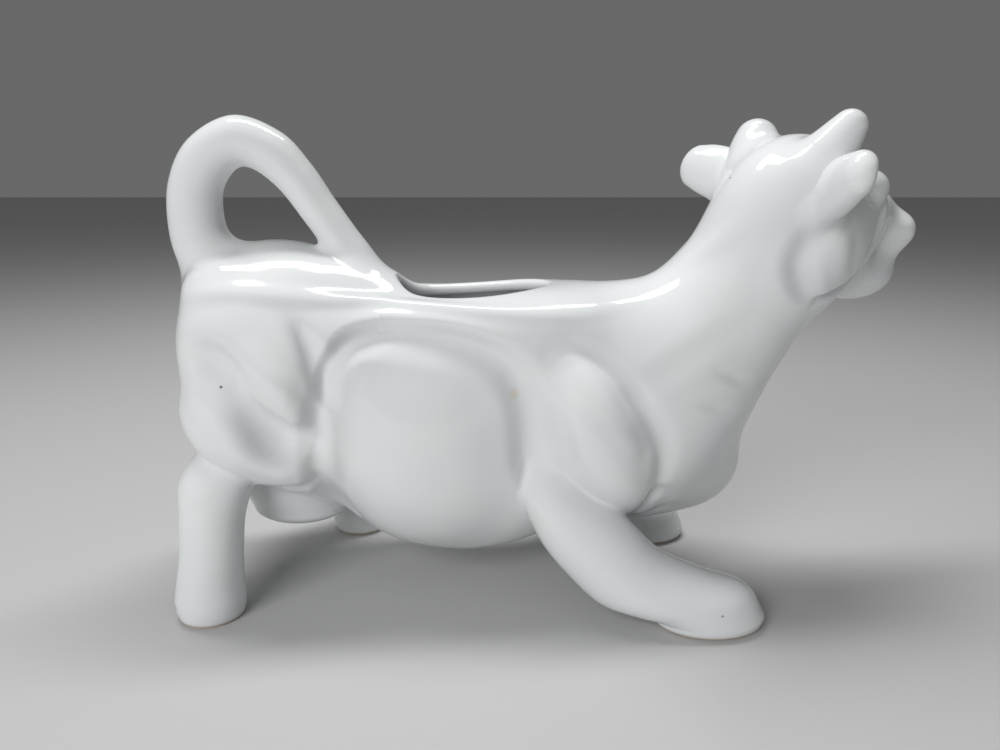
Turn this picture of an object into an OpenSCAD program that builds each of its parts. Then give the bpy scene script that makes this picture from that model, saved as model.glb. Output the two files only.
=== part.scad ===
/* [Whole cow] */
// Length from the rump to the tip of the nose, mm
cow_length = 200; // [150:1:260]
// Width over the outer edges of the feet
cow_width = 75; // [60:1:100]
// Height from the table to the tip of the horns
cow_height = 128; // [100:1:170]

/* [Shell] */
// Thickness of the glazed porcelain wall
wall = 3.2; // [2.4:0.1:4]
// Thickness of the smoothing where two clay masses run together
melt = 8; // [5:0.5:10]
// Half width of the grooves pressed in the flanks
groove_r = 5; // [4:0.1:6]
// Depth of the grooves pressed in the flanks
groove_depth = 2; // [1:0.1:2.5]

/* [Filling opening] */
// Length of the opening in the back
opening_length = 42; // [30:1:50]
// Width of the opening in the back
opening_width = 27; // [20:1:32]
// Place of the opening's middle, ahead of the cow's middle
opening_ahead = -22; // [-26:1:-18]

/* [Pouring mouth] */
// Bore of the pouring mouth between the lips
mouth_bore = 9; // [7:0.5:11]
// Wall left at the edge of the lips
lip_wall = 1.6; // [1.2:0.1:2.4]

/* [Head] */
// Head, from the middle of the skull to the lips
head_length = 42; // [34:1:48]
// Width of the skull
head_width = 34; // [30:1:38]
// Height of the skull
head_height = 40; // [36:1:44]
// Turn of the head to the cow's left, degrees
head_turn = 28; // [20:1:34]
// Lift of the nose above level, degrees
nose_lift = 3; // [-4:1:8]

/* [Ears and horns] */
// Ear, from its root to its tip
ear_length = 20; // [14:1:26]
// Half the width of an ear
ear_r = 7.4; // [5:0.1:8]
// Half the thickness of an ear
ear_thick_r = 5.2; // [4:0.1:6]
// Horn, from its root to its tip
horn_length = 19; // [14:1:24]
// Radius of a horn's root
horn_r = 7.8; // [6:0.1:9]

/* [Legs] */
// Half the width of a foot
foot_r = 8.6; // [7:0.1:9.5]
// How far the right hind foot stands ahead of the hip
right_hind_reach = -12; // [-14:1:-6]
// How far the left hind foot stands ahead of the hip
left_hind_reach = 18; // [10:1:22]
// Right hind foot, from the mid plane to its middle
right_hind_side = 23.5; // [21:0.5:28]
// Left hind foot, from the mid plane to its middle
left_hind_side = 28; // [21:0.5:30]
// How far the right fore toe stands ahead of the elbow
right_fore_reach = 53; // [44:1:56]
// How far the left fore toe stands ahead of the elbow
left_fore_reach = 40; // [34:1:50]
// Right forefoot, from the mid plane to its middle
right_fore_side = 27.8; // [21:0.5:30]
// Left forefoot, from the mid plane to its middle
left_fore_side = 22; // [20:0.5:28]
// Rounding under the edge of a foot
foot_edge = 1.6; // [1:0.1:3]

/* [Tail handle] */
// Radius of the tail's thick rear limb
tail_r = 6.6; // [5:0.1:7.5]
// Gap under the glaze where a luted piece meets the hide
lute_gap = 0.04; // [0.02:0.01:0.1]

/* [Hidden] */

cow = [cow_length, cow_width, cow_height];
skull = [head_length, head_width, head_height];
glaze = [0.93, 0.94, 0.95];

// Clay masses of the trunk, mirrored ones last. Each row holds the middle and the half
// lengths as shares of the cow, the tilt in degrees (nose up), the share of melt and the
// power of the mass: an egg at 2, squarer above.
trunk_shares = [
    [[-0.125, 0, 0.345], [0.215, 0.315, 0.28], 2, 0.15, 2],
    [[-0.34, 0, 0.54], [0.155, 0.315, 0.19], -23, 1.25, 2],
    [[-0.15, 0, 0.50], [0.25, 0.285, 0.137], 5, 1, 3],
    [[0.09, 0, 0.385], [0.14, 0.315, 0.25], 22, 1.1, 2],
    [[0.195, 0, 0.25], [0.063, 0.12, 0.085], 35, 1, 2],
    [[0.17, 0, 0.485], [0.11, 0.265, 0.227], -40, 1.5, 2],
    [[0.26, 0, 0.68], [0.09, 0.227, 0.172], -27, 1.5, 2],
    [[-0.26, 0, 0.617], [0.075, 0.133, 0.074], -12, 0.75, 2],
];
side_shares = [
    [[-0.3, 0.08, 0.375], [0.07, 0.227, 0.172], 0, 0.9, 2],
    [[-0.1675, 0.08, 0.336], [0.1275, 0.273, 0.223], 3, 0.6, 2.3],
    [[-0.345, 0.147, 0.484], [0.06, 0.227, 0.145], 26, 0.8, 2],
    [[-0.395, 0.16, 0.36], [0.095, 0.227, 0.086], -30, 0.8, 2],
    [[-0.335, 0.147, 0.32], [0.055, 0.2, 0.07], -12, 0.8, 2],
    [[-0.405, 0.147, 0.516], [0.075, 0.187, 0.156], 0, 0.9, 2],
    [[-0.425, 0.147, 0.648], [0.04, 0.087, 0.051], 0, 0.6, 2],
    [[0.055, 0.16, 0.367], [0.0575, 0.24, 0.1875], 27, 0.8, 2],
];
// Grooves pressed in both flanks. Each row holds the tool's line in the side view, as shares
// of the cow's length and height, then shares of groove_r and of groove_depth.
groove_shares = [
    [[[-0.288, 0.47], [-0.282, 0.505], [-0.268, 0.547], [-0.245, 0.572], [-0.2, 0.58], [-0.135, 0.568],
        [-0.085, 0.54], [-0.053, 0.49], [-0.038, 0.43], [-0.0325, 0.36], [-0.0325, 0.297]], 1, 1],
    [[[-0.325, 0.59], [-0.31, 0.56], [-0.298, 0.523], [-0.29, 0.477]], 0.8, 0.8],
    [[[-0.44, 0.53], [-0.41, 0.52], [-0.388, 0.496], [-0.374, 0.457], [-0.36, 0.414], [-0.34, 0.381],
        [-0.31, 0.367]], 0.95, 1],
    [[[-0.288, 0.47], [-0.3, 0.414], [-0.307, 0.36], [-0.307, 0.297], [-0.3, 0.242], [-0.28, 0.19]],
        0.8, 0.9],
    [[[0.03, 0.543], [0.065, 0.492], [0.1, 0.422], [0.1225, 0.352], [0.1225, 0.281], [0.11, 0.211]],
        1, 0.45],
    [[[-0.46, 0.352], [-0.43, 0.324], [-0.4, 0.289], [-0.37, 0.27], [-0.335, 0.266], [-0.305, 0.273]],
        0.8, 0.8],
    [[[-0.0325, 0.297], [0, 0.258], [0.035, 0.223], [0.065, 0.195], [0.09, 0.172]], 0.8, 0.9],
];
// Clay masses of the head, in the head's own frame and in shares of the skull's sizes.
head_shares = [
    [[0, 0, 0.01], [0.485, 0.5, 0.485], 0, 1, 2],
    [[0.095, 0, -0.24], [0.45, 0.41, 0.34], 20, 1, 2],
    [[0.475, 0, -0.065], [0.41, 0.29, 0.225], 9, 1, 2],
    [[0.855, 0, -0.165], [0.185, 0.31, 0.16], 20, 0.5, 2],
    [[0.62, 0, -0.46], [0.26, 0.25, 0.15], 7, 1, 2],
];
brow_shares = [
    [[0.425, 0.23, 0.14], [0.14, 0.15, 0.12], 0, 0.5, 2],
];
// The udder's egg: its middle and its half lengths.
udder_shares = [[-0.355, 0, 0.22], [0.077, 0.167, 0.09]];

// Middle of the skull and the frame that the head's masses lie in.
skull_share = [0.2965, -0.02, 0.785];
ahead_dir = [cos(head_turn) * cos(nose_lift), sin(head_turn) * cos(nose_lift), sin(nose_lift)];
left_dir = [-sin(head_turn), cos(head_turn), 0];
crown_dir = cross(ahead_dir, left_dir);

function place(share) = times(share, cow);
function in_head(q) = place(skull_share) + q.x * ahead_dir + q.y * left_dir + q.z * crown_dir;
function to_head(p) = let (q = p - place(skull_share)) [q * ahead_dir, q * left_dir, q * crown_dir];
function fold(p) = [p.x, abs(p.y), p.z];
function unit(v) = v / norm(v);

// Signed gap from p to a mass with middle c, half lengths r, tilt a and power n.
function egg_gap(p, c, r, a, n) =
    let (q = p - c, e = [q.x * cos(a) + q.z * sin(a), q.y, q.z * cos(a) - q.x * sin(a)])
    n == 2 ? round_gap([e.x / r.x, e.y / r.y, e.z / r.z], r)
           : square_gap([abs(e.x) / r.x, abs(e.y) / r.y, abs(e.z) / r.z], r, n);
function round_gap(k, r) = let (g = norm([k.x / r.x, k.y / r.y, k.z / r.z]))
    g == 0 ? -min(r) : norm(k) * (norm(k) - 1) / g;
function square_gap(k, r, n) = let (m = pow(pow(k.x, n) + pow(k.y, n) + pow(k.z, n), 1 / n))
    m == 0 ? -min(r) : (m - 1) / norm([for (i = [0:2]) pow(k[i] / m, n - 1) / r[i]]);

// Two gaps run together over the width k, as wet clay smoothed with a thumb.
function blend(a, b, k) = let (h = max(k - abs(a - b), 0) / k) min(a, b) - h * h * k / 4;

// Rows of shares as real sizes: middle, half lengths, tilt, blend width and power.
function times(share, size) = [share.x * size.x, share.y * size.y, share.z * size.z];
function sized(rows, size) = [for (m = rows)
    [times(m[0], size), times(m[1], size), m[2], m[3] * melt, m[4]]];
TRUNK = sized(trunk_shares, cow);
SIDES = sized(side_shares, cow);
HEAD = sized(head_shares, skull);
BROWS = sized(brow_shares, skull);
GROOVES = [for (g = groove_shares)
    [[for (q = g[0]) [q[0] * cow_length, q[1] * cow_height]], g[1] * groove_r, g[2] * groove_depth]];

function pile(p, rows, gap, i = 0) = i == len(rows) ? gap :
    pile(p, rows, blend(gap, egg_gap(p, rows[i][0], rows[i][1], rows[i][2], rows[i][4]), rows[i][3]), i + 1);

// Depth of the grooves at p. They fade in between two shares of the cow's width off the mid plane.
groove_from_share = 0.12;
groove_full_share = 0.2;
function off_line(p, a, b) = let (t = max(0, min(1, (p - a) * (b - a) / ((b - a) * (b - a)))))
    norm(p - a - t * (b - a));
function pressed(p, line, r, depth) =
    let (d = min([for (i = [1:len(line) - 1]) off_line(p, line[i - 1], line[i])]) / r)
    d < 1 ? depth * pow(1 - d * d, 2) : 0;
function groove_depths(p, i = 0) = i == len(GROOVES) ? 0 :
    pressed(p, GROOVES[i][0], GROOVES[i][1], GROOVES[i][2]) + groove_depths(p, i + 1);
function grooves(p) =
    let (share = (abs(p.y) / cow_width - groove_from_share) / (groove_full_share - groove_from_share))
    share <= 0 ? 0 : let (f = min(share, 1)) f * f * (3 - 2 * f) * groove_depths([p.x, p.z]);

// Grooves are left out of the gap further from the skin than groove_range.
groove_range = 8;
function trunk_gap(p) = let (gap = pile(fold(p), SIDES, pile(p, TRUNK, cow_length)))
    abs(gap) < groove_range ? gap + grooves(p) : gap;
function head_gap(p) = let (q = to_head(p)) pile(fold(q), BROWS, pile(q, HEAD, cow_length));
function hide_gap(p) = blend(trunk_gap(p), head_gap(p), melt);

// Distance along a ray to the level of the hide, found by stepping by a share of the gap itself.
trace_steps = 15;
trace_share = 0.92;
function reach(from, dir, level, t = 0, n = trace_steps) = n == 0 ? t :
    reach(from, dir, level, t + trace_share * (level - hide_gap(from + t * dir)), n - 1);

// Points on a cubic curve and the direction there.
function curve(c, u) = pow(1 - u, 3) * c[0] + 3 * u * pow(1 - u, 2) * c[1]
    + 3 * u * u * (1 - u) * c[2] + pow(u, 3) * c[3];
function heading(c, u) = unit(pow(1 - u, 2) * (c[1] - c[0]) + 2 * u * (1 - u) * (c[2] - c[1])
    + u * u * (c[3] - c[2]));

// The line that the trunk's skin is laid around, up to the luting plane at the top of the neck.
neck_lean = 60;
neck_dir = [cos(neck_lean), 0, sin(neck_lean)];
neck_share = [0.2675, 0, 0.69];
trunk_line = [place([-0.32, 0, 0.46]), place([-0.13, 0, 0.4]),
    place(neck_share) - 0.2 * cow_length * neck_dir, place(neck_share)];
// The head's stations turn about throat_hinge, a point just under the throat in the luting plane.
hinge_share = 0.585;
hinge_side_share = 0.13;
mouth_share = 0.375;
mouth_drop = 13;
neck_top = place(neck_share);
neck_back = [-sin(neck_lean), 0, cos(neck_lean)];
throat_hinge = neck_top - hinge_share * head_height * neck_back + [0, hinge_side_share * head_length, 0];
mouth_dir = cos(mouth_drop) * ahead_dir - sin(mouth_drop) * crown_dir;
mouth_back = cos(mouth_drop) * crown_dir + sin(mouth_drop) * ahead_dir;
mouth_from = throat_hinge + mouth_share * head_height * mouth_back;

// A station is [origin, axis direction, back direction, spread]: its rays lie on a cone
// around the axis, square to it at a spread of 90 degrees.
function station(line, u, back, spread = 90) =
    let (t = heading(line, u)) [curve(line, u), t, unit(back - (back * t) * t), spread];
function ray(s, v) = let (side = cross(s[2], s[1]))
    sin(s[3]) * (cos(v) * s[2] + sin(v) * side) + cos(s[3]) * s[1];
function skin_at(s, v, level) = s[0] + reach(s[0], ray(s, v), level) * ray(s, v);

columns = 52;
UP = [0, 0, 1];

function trunk_station(u) = station(trunk_line, u, UP);
// The head's station at share w of the turn from the luting plane to the mouth.
function head_station(w, spread = 90) =
    let (arm = unit((1 - w) * unit(neck_top - throat_hinge) + w * mouth_back))
    let (far = (1 - w) * norm(neck_top - throat_hinge) + w * mouth_share * head_height)
    let (t = (1 - w) * neck_dir + w * mouth_dir, axis = unit(t - (t * arm) * arm))
    let (back = (1 - w) * neck_back + w * mouth_back)
    [throat_hinge + far * arm, axis, unit(back - (back * axis) * axis), spread];
function back_x(u) = skin_at(trunk_station(u), 0, 0).x;
// The place on trunk_line whose back point lies at x, by halving.
function back_u(x, low = 0, high = 1, n = 11) = n == 0 ? (low + high) / 2 :
    back_x((low + high) / 2) < x ? back_u(x, (low + high) / 2, high, n - 1)
                                 : back_u(x, low, (low + high) / 2, n - 1);

// The opening's outline, drawn in by inset. Its stations run from the rear tip to the front tip.
rim_stations = 16;
// Facets that round the rim from the outer to the inner skin.
rim_facets = 4;
// Largest share of the way to the skin that half the opening may take.
rim_reach_share = 0.9;
function rim_turn(i) = 180 * i / rim_stations;
function rim_u(i, inset) = back_u(opening_ahead - cos(rim_turn(i)) * (opening_length / 2 - inset));
function rim_half_angle(i, u, inset) = i == 0 || i == rim_stations ? 0 :
    let (w = sin(rim_turn(i)) * (opening_width / 2 - inset))
    asin(min(w / reach(trunk_station(u)[0], ray(trunk_station(u), 0), 0), rim_reach_share));

module solid(points, faces) { polyhedron(points, faces, convexity = 8); }

function flat(rows) = [for (r = rows) each r];
function quad(a, b, c, d) = [[c, b, a], [d, c, a]];
// The same four corners, folded on the other diagonal in the second half of the columns, so
// that the cow's two sides are mirrored.
function folded_quad(j, a, b, c, d) = j < columns / 2 ? quad(a, b, c, d) : quad(b, c, d, a);

// Trunk with the neck, the filling opening and a flat luting face at the top of the neck.
module body_shell() {
    rump_rings = 12;
    rump_stations = 7;
    neck_stations = 20;
    rim_us = [for (i = [0:rim_stations]) rim_u(i, 0)];
    half_angles = [for (i = [0:rim_stations]) rim_half_angle(i, rim_us[i], 0)];
    first_rim = rump_rings + rump_stations;
    last_rim = first_rim + rim_stations;
    rump_dir = -1 * trunk_station(0)[1];
    stations = concat(
        [for (i = [1:rump_rings]) let (s = trunk_station(0))
            [s[0], s[1], s[2], 180 - 90 * i / (rump_rings + 1)]],
        [for (i = [0:rump_stations - 1]) trunk_station(rim_us[0] * i / rump_stations)],
        [for (u = rim_us) trunk_station(u)],
        [for (i = [1:neck_stations]) trunk_station(rim_us[rim_stations]
            + (1 - rim_us[rim_stations]) * i / neck_stations)]);
    count = len(stations);
    function open_angle(i) = i < first_rim || i > last_rim ? 0 : half_angles[i - first_rim];
    function open_at(i) = i > first_rim && i < last_rim;
    function column_angle(i, j) = open_angle(i) + (360 - 2 * open_angle(i)) * j / columns;
    function grid(level) = [for (i = [0:count - 1]) for (j = [0:columns])
        skin_at(stations[i], column_angle(i, j), level)];
    rim_rows = [for (k = [1:rim_facets - 1]) let (v = 180 * k / rim_facets)
        let (inset = wall / 2 * sin(v), level = -wall / 2 * (1 - cos(v)))
        let (us = [for (i = [0:rim_stations]) rim_u(i, inset)])
        [for (side = [1, -1]) for (i = [0:rim_stations])
            skin_at(trunk_station(us[i]), side * rim_half_angle(i, us[i], inset), level)]];
    outer = grid(0);
    inner = grid(-wall);
    rims = flat(rim_rows);
    poles = [trunk_line[0] + reach(trunk_line[0], rump_dir, 0) * rump_dir,
             trunk_line[0] + reach(trunk_line[0], rump_dir, -wall) * rump_dir];
    size = len(outer);
    rim_size = 2 * (rim_stations + 1);
    function at(i, j) = i * (columns + 1) + (j == columns && !open_at(i) ? 0 : j);
    // Corner i of rim row k, on the right side (0) or the left side (1).
    function rim_at(k, i, side) =
        k == 0 ? at(first_rim + i, side == 0 ? 0 : columns) :
        k == rim_facets ? size + at(first_rim + i, side == 0 ? 0 : columns) :
        2 * size + (k - 1) * rim_size + (i == 0 || i == rim_stations ? i : side * (rim_stations + 1) + i);
    pole = 2 * size + (rim_facets - 1) * rim_size;
    skins = [for (i = [0:count - 2]) for (j = [0:columns - 1]) each concat(
        folded_quad(j, at(i, j), at(i + 1, j), at(i + 1, j + 1), at(i, j + 1)),
        folded_quad(j, size + at(i, j), size + at(i, j + 1), size + at(i + 1, j + 1), size + at(i + 1, j)))];
    caps = [for (j = [0:columns - 1]) each concat(
        [[at(0, j + 1), at(0, j), pole], [size + at(0, j), size + at(0, j + 1), pole + 1]],
        quad(at(count - 1, j), size + at(count - 1, j), size + at(count - 1, j + 1), at(count - 1, j + 1)))];
    rim = [for (k = [0:rim_facets - 1]) for (i = [0:rim_stations - 1]) each concat(
        quad(rim_at(k, i, 0), rim_at(k + 1, i, 0), rim_at(k + 1, i + 1, 0), rim_at(k, i + 1, 0)),
        quad(rim_at(k, i, 1), rim_at(k, i + 1, 1), rim_at(k + 1, i + 1, 1), rim_at(k + 1, i, 1)))];
    color(glaze) solid(concat(outer, inner, rims, poles), concat(skins, caps, rim));
}

// Hollow head on the neck's luting face, with the pouring mouth between its lips.
module head_shell() {
    neck_rings = 13;
    face_rings = 12;
    mouth_spread = atan(mouth_bore / 2 / reach(mouth_from, mouth_dir, 0));
    stations = concat(
        [for (i = [0:neck_rings]) head_station(i / neck_rings)],
        [for (i = [1:face_rings]) head_station(1, 90 + (mouth_spread - 90) * i / face_rings)]);
    count = len(stations);
    outer = [for (s = stations) for (j = [0:columns - 1]) skin_at(s, 360 * j / columns, 0)];
    // The hollow is the level under the wall or, further ahead, the bore between the lips.
    function hollow(s, dir) = max(reach(s[0], dir, -wall),
        min(mouth_bore / 2 / sin(s[3]), reach(s[0], dir, 0) - lip_wall));
    inner = [for (s = stations) for (j = [0:columns - 1]) let (dir = ray(s, 360 * j / columns))
        s[0] + hollow(s, dir) * dir];
    size = len(outer);
    function at(i, j) = i * columns + j % columns;
    skins = [for (i = [0:count - 2]) for (j = [0:columns - 1]) each concat(
        folded_quad(j, at(i, j), at(i + 1, j), at(i + 1, j + 1), at(i, j + 1)),
        folded_quad(j, size + at(i, j), size + at(i, j + 1), size + at(i + 1, j + 1), size + at(i + 1, j)))];
    ends = [for (j = [0:columns - 1]) each concat(
        quad(at(0, j), at(0, j + 1), size + at(0, j + 1), size + at(0, j)),
        quad(at(count - 1, j), size + at(count - 1, j), size + at(count - 1, j + 1), at(count - 1, j + 1)))];
    color(glaze) solid(concat(outer, inner), concat(skins, ends));
}

// Rings of a limb: rows of [x, y, z, lean, half length, half width] run smoothly together.
function smooth_row(rows, t) =
    let (last = len(rows) - 1, i = min(floor(t), last - 1), f = t - i)
    let (a = rows[max(i - 1, 0)], b = rows[i], c = rows[i + 1], d = rows[min(i + 2, last)])
    0.5 * (2 * b + (c - a) * f + (2 * a - 5 * b + 4 * c - d) * f * f
        + (3 * b - a - 3 * c + d) * f * f * f);
function smooth_rows(rows, count) = [for (i = [0:count]) smooth_row(rows, i * (len(rows) - 1) / count)];

sides = 20;
// A ring whose plane faces lean degrees below level ahead; a lean of 90 lies flat.
function ring(row) = [for (j = [0:sides - 1]) let (v = 360 * j / sides)
    [row[0] + row[4] * cos(v) * sin(row[3]), row[1] + row[5] * sin(v),
     row[2] + row[4] * cos(v) * cos(row[3])]];

// Where column j of the rings comes out of the hide, between rings low and high.
function column_at(rings, j, s) = let (i = min(floor(s), len(rings) - 2), f = s - i)
    (1 - f) * rings[i][j] + f * rings[i + 1][j];
function emerge(rings, j, low, high, n = 11) = n == 0 ? high : let (middle = (low + high) / 2)
    hide_gap(column_at(rings, j, middle)) > lute_gap ? emerge(rings, j, low, middle, n - 1)
                                                     : emerge(rings, j, middle, high, n - 1);
function mean(points, i = 0, sum = [0, 0, 0]) = i == len(points) ? sum / i :
    mean(points, i + 1, sum + points[i]);

// Rings from the scribed root to the last ring, after hub_rings rings laid on the hide, the
// first of them a single point. No root is sought deeper than the share root_share of the rings.
hub_rings = 3;
settle_share = 0.8;
root_share = 0.65;
function settle(p, dir, t = 0, n = 7) = n == 0 ? p + t * dir :
    settle(p, dir, t + settle_share * (lute_gap - hide_gap(p + t * dir)), n - 1);
function scribed(rings) =
    let (last = len(rings) - 1, deep = root_share * last)
    let (starts = [for (j = [0:sides - 1]) emerge(rings, j, 0, deep)])
    let (cut = [for (i = [0:last]) [for (j = [0:sides - 1])
        column_at(rings, j, starts[j] + (last - starts[j]) * i / last)]])
    let (axis = [for (r = rings) [mean(r)]], start = emerge(axis, 0, 0, deep))
    let (hub = column_at(axis, 0, start), dir = unit(column_at(axis, 0, start + 1) - hub))
    let (laid = [for (k = [1:hub_rings - 1]) [for (p = cut[0]) settle(hub + k / hub_rings * (p - hub), dir)]])
    concat([[hub]], laid, cut);

// Solid through the rings. A ring of one point is a pole; a last full ring is closed flat.
module loft(rings) {
    starts = [for (i = 0, sum = 0; i < len(rings); sum = sum + len(rings[i]), i = i + 1) sum];
    function at(i, j) = starts[i] + (len(rings[i]) == 1 ? 0 : j % sides);
    last = len(rings) - 1;
    walls = [for (i = [0:last - 1]) for (j = [0:sides - 1])
        let (a = at(i, j), b = at(i, j + 1), c = at(i + 1, j + 1), d = at(i + 1, j))
        each concat(a == b ? [] : [[a, b, d]], c == d ? [] : [[b, c, d]])];
    flats = len(rings[last]) == 1 ? [] : [[for (j = [0:sides - 1]) at(last, j)]];
    solid(flat(rings), concat(walls, flats));
}

// A leg's rings as shares: x of the reach, y of the foot's side, z of the cow's height, lean
// in degrees, then half length and half width as shares of foot_r.
foreleg_shares = [
    [-0.1, 0.25, 0.36, 80, 0.93, 0.81],
    [-0.03, 0.52, 0.25, 78, 1.02, 0.99],
    [0.085, 0.66, 0.191, 60, 1.22, 1.16],
    [0.21, 0.81, 0.137, 46, 1.23, 1.16],
    [0.34, 0.92, 0.092, 50, 1.21, 1.1],
    [0.51, 0.98, 0.064, 63, 1.3, 1.07],
    [0.65, 1, 0.045, 79, 1.5, 1.05],
    [0.745, 1, 0.025, 87, 1.51, 1.05],
];
hindleg_shares = [
    [-0.1, 0.45, 0.41, 90, 1.05, 0.99],
    [0.3, 0.6, 0.348, 90, 1.1, 1.05],
    [0.7, 0.8, 0.285, 90, 1.12, 1.08],
    [0.83, 0.92, 0.219, 90, 0.95, 1],
    [0.88, 1, 0.14, 90, 0.91, 0.94],
    [0.97, 1, 0.078, 90, 0.98, 0.965],
    [1, 1, 0.042, 90, 1.03, 1],
];
elbow_share = 0;
hip_share = -0.39;
sole_share = 0.86;
ankle_share = 0.98;
shank_rings = 16;

// Leg luted under the trunk, ending in a flat unglazed sole. side is -1 right and 1 left.
module leg(rows, root_x, reach_x, foot_y, side) {
    sized_rows = [for (r = rows) [root_x + r[0] * reach_x, side * r[1] * foot_y, r[2] * cow_height,
        r[3], r[4] * foot_r, r[5] * foot_r]];
    shank = smooth_rows(sized_rows, shank_rings);
    foot = shank[len(shank) - 1];
    ankle = [foot[0], foot[1], foot_edge, 90, ankle_share * foot[4], ankle_share * foot[5]];
    sole = [foot[0], foot[1], 0, 90, sole_share * foot[4], sole_share * foot[5]];
    color(glaze) loft(scribed([for (r = concat(shank, [ankle, sole])) ring(r)]));
}
elbow_x = elbow_share * cow_length;
hip_x = hip_share * cow_length;
module right_foreleg() { leg(foreleg_shares, elbow_x, right_fore_reach, right_fore_side, -1); }
module left_foreleg() { leg(foreleg_shares, elbow_x, left_fore_reach, left_fore_side, 1); }
module right_hind_leg() { leg(hindleg_shares, hip_x, right_hind_reach, right_hind_side, -1); }
module left_hind_leg() { leg(hindleg_shares, hip_x, left_hind_reach, left_hind_side, 1); }

// Tail handle: its centre line from the rump over the finger loop to the back, as shares of
// the cow's length and height, with the radius as a share of tail_r.
tail_shares = [
    [-0.43, 0.605, 1.3], [-0.45, 0.685, 1.2], [-0.465, 0.755, 1.07], [-0.463, 0.835, 1.02],
    [-0.4425, 0.895, 0.98], [-0.405, 0.927, 0.96], [-0.3675, 0.903, 0.9], [-0.3375, 0.855, 0.82],
    [-0.3125, 0.797, 0.76], [-0.288, 0.738, 0.76], [-0.263, 0.68, 0.85], [-0.245, 0.61, 0.95],
];
tail_rings = 40;
module tail_handle() {
    rows = [for (r = tail_shares) [r[0] * cow_length, r[1] * cow_height, r[2] * tail_r]];
    line = smooth_rows(rows, tail_rings);
    function slope(i) = let (a = line[max(i - 1, 0)], b = line[min(i + 1, tail_rings)])
        atan2(b[1] - a[1], b[0] - a[0]);
    rings = [for (i = [0:tail_rings]) ring([line[i][0], 0, line[i][1], -slope(i), line[i][2], line[i][2]])];
    front_cut = scribed([for (i = [tail_rings:-1:0]) rings[i]]);
    rear_cut = scribed(rings);
    half = hub_rings + tail_rings / 2;
    color(glaze) loft(concat([for (i = [0:half]) rear_cut[i]], [for (i = [half:-1:0]) front_cut[i]]));
}

// Pieces on the skull: rings across a root-to-tip line in the head's frame, mirrored by side.
module on_skull(root, tip, length, wide, thick, profile_shares, side) {
    axis = unit(tip - root);
    across = unit(cross(axis, [0, 0, 1]));
    over = cross(across, axis);
    turned = [for (r = profile_shares) [for (j = [0:sides - 1]) let (v = 360 * j / sides)
        let (q = root + r[0] * length * axis + r[1] * (wide * cos(v) * across + thick * sin(v) * over))
        in_head([q.x, side * q.y, q.z])]];
    rings = side > 0 ? turned : [for (r = turned) [for (j = [sides - 1:-1:0]) r[j]]];
    point = root + length * axis;
    color(glaze) loft(concat(scribed(rings), [[in_head([point.x, side * point.y, point.z])]]));
}

ear_root_shares = [-0.11, 0.33, 0.16];
ear_tip_shares = [-0.28, 0.84, 0.38];
ear_profile_shares = [[0, 0.9], [0.15, 0.96], [0.3, 1], [0.45, 1], [0.6, 0.96], [0.72, 0.88],
    [0.83, 0.74], [0.91, 0.57], [0.97, 0.34]];
horn_root_shares = [-0.09, 0.3, 0.26];
horn_tip_shares = [0.12, 0.49, 0.63];
horn_profile_shares = [[0, 1], [0.15, 0.97], [0.3, 0.9], [0.45, 0.8], [0.6, 0.69], [0.72, 0.6],
    [0.83, 0.49], [0.92, 0.35], [0.98, 0.17]];
function on_skull_at(shares) = [for (i = [0:2]) shares[i] * skull[i]];
module ear(side) {
    on_skull(on_skull_at(ear_root_shares), on_skull_at(ear_tip_shares), ear_length, ear_r,
        ear_thick_r, ear_profile_shares, side);
}
module horn(side) {
    on_skull(on_skull_at(horn_root_shares), on_skull_at(horn_tip_shares), horn_length, horn_r,
        horn_r, horn_profile_shares, side);
}
module right_ear() { ear(-1); }
module left_ear() { ear(1); }
module right_horn() { horn(-1); }
module left_horn() { horn(1); }

// Udder: the lower part of an egg, scribed to the belly.
module udder() {
    middle = place(udder_shares[0]);
    half = times(udder_shares[1], cow);
    rings = [for (a = [-50:10:80]) ring([middle.x, middle.y, middle.z - half.z * sin(a), 90,
        half.x * cos(a), half.y * cos(a)])];
    color(glaze) loft(concat(scribed(rings), [[middle - [0, 0, half.z]]]));
}

body_shell();
head_shell();
tail_handle();
udder();
right_foreleg();
left_foreleg();
right_hind_leg();
left_hind_leg();
right_ear();
left_ear();
right_horn();
left_horn();
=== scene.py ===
import bpy
import numpy as np
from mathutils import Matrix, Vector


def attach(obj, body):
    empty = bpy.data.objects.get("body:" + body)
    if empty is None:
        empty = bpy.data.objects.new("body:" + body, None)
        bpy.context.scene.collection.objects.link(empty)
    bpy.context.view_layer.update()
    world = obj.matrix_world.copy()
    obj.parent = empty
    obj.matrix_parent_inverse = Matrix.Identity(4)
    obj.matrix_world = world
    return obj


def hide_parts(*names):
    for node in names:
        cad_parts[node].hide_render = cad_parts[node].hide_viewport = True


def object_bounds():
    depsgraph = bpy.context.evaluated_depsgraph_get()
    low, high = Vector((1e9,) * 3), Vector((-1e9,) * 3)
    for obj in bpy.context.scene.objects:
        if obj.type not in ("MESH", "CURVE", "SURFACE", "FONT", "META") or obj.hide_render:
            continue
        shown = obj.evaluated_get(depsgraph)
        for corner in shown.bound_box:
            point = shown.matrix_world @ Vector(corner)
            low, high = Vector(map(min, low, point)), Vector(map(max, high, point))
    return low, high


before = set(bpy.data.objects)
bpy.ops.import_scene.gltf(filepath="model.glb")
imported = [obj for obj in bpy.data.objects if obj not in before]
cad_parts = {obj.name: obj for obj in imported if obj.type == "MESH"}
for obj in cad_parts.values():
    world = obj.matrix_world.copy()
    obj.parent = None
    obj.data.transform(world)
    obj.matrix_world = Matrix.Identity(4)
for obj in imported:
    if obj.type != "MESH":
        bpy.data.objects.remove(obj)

cad_box = [list(map(float, corner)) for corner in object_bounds()]

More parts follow.
